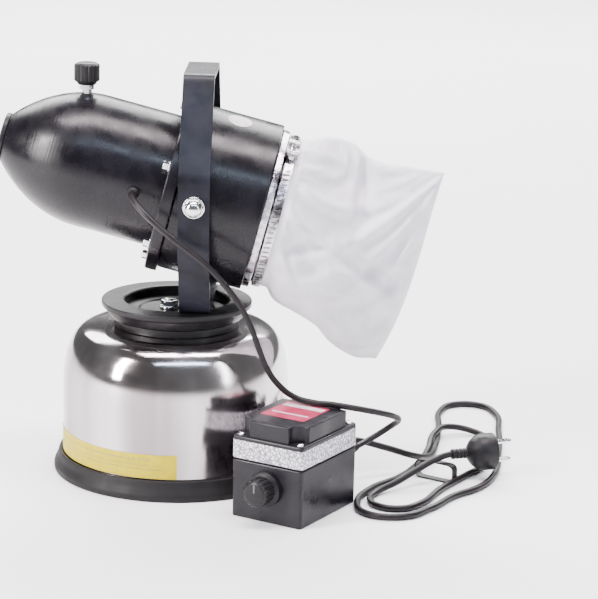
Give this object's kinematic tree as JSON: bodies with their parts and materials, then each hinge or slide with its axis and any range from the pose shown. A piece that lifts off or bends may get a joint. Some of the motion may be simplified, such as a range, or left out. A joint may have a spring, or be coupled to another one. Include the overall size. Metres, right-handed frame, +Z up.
{
  "type": "electric cold fogger",
  "caption": "Cold fogger: stainless tank in a rubber boot, tilting blower head on a handle yoke, cloth intake filter and a corded control box.",
  "frame": {"origin": "middle of the rubber boot's underside, on the floor", "axes": "+Z up; +X from the blower's outlet towards its filter bag; +Y away from the side the control box stands on"},
  "size_m": [0.518, 0.4388, 0.406],
  "materials": {
    "rubber": "matte",
    "stainless": "polished",
    "chrome": "polished",
    "black_enamel": "semi-gloss",
    "black_bar": "satin",
    "black_plastic": "satin",
    "brass": "satin",
    "steel": "satin",
    "cloth": "matte",
    "board": "satin"
  },
  "bodies": {
    "base": {"base_boot": "rubber", "tank_shell": "stainless", "neck_ring": "black_plastic", "neck_gasket": "rubber", "collar": "black_plastic", "lid_plate": "black_plastic", "lid_fitting": "chrome", "pickup_pipe": "steel", "yoke": "black_bar", "yoke_screw_front": "steel", "yoke_screw_rear": "steel", "pivot_bolt_front": "chrome", "pivot_bolt_rear": "chrome", "pivot_washer_front": "rubber", "pivot_washer_rear": "rubber", "hose_barb_tank": "brass", "feed_hose": "rubber", "motor_lead": "rubber", "box_base": "black_plastic", "box_lid": "black_plastic", "lid_screw_1": "chrome", "lid_screw_2": "chrome", "lid_screw_3": "chrome", "lid_screw_4": "chrome", "circuit_board": "board", "motor_gland": "rubber", "mains_gland": "rubber", "mains_lead": "rubber", "mains_hank": "rubber", "cord_tie": "black_plastic", "plug_lead": "rubber", "mains_plug": "black_plastic", "plug_pin_upper": "chrome", "plug_pin_lower": "chrome"},
    "head": {"motor_housing": "black_enamel", "flange_ring": "black_enamel", "flange_bolt_1": "chrome", "flange_bolt_2": "chrome", "flange_bolt_3": "chrome", "flange_bolt_4": "chrome", "flange_bolt_5": "chrome", "flange_bolt_6": "chrome", "nose_shell": "black_enamel", "outlet_ring": "black_plastic", "swirl_vanes": "black_plastic", "fog_nozzle": "brass", "motor": "steel", "motor_bracket": "black_plastic", "rear_rim": "stainless", "intake_guard": "steel", "filter_bag": "cloth", "clamp_band": "stainless", "valve_stem": "chrome", "head_gland": "rubber", "hose_barb_head": "brass"},
    "impeller": {"motor_shaft": "steel", "fan_wheel": "steel"},
    "flow_knob": {"flow_knob": "black_plastic"},
    "clamp_screw": {"clamp_screw": "chrome"},
    "speed_knob": {"speed_knob": "black_plastic"}
  },
  "joints": [
    {"name": "head_tilt", "type": "hinge", "parent": "base", "child": "head", "pos_m": [0.0215, 0, 0.286], "axis": [0, 1, 0], "range_deg": [-20, 8], "deforming": ["motor_lead", "feed_hose"]},
    {"name": "impeller_spin", "type": "hinge", "parent": "head", "child": "impeller", "pos_m": [0.0215, 0, 0.2828], "axis": [0.9703, 0, -0.2419], "continuous": true},
    {"name": "flow_knob_turn", "type": "hinge", "parent": "head", "child": "flow_knob", "pos_m": [-0.09, 0, 0.395], "axis": [0, 0, 1], "range_deg": [-180, 180]},
    {"name": "clamp_screw_turn", "type": "hinge", "parent": "head", "child": "clamp_screw", "pos_m": [0.11279, -0.03751, 0.33274], "axis": [-0.1136, -0.8829, -0.4555], "continuous": true},
    {"name": "speed_knob_turn", "type": "hinge", "parent": "base", "child": "speed_knob", "pos_m": [0.0977, -0.1682, 0.034], "axis": [-0.4955, -0.8686, 0], "range_deg": [-135, 135]}
  ]
}
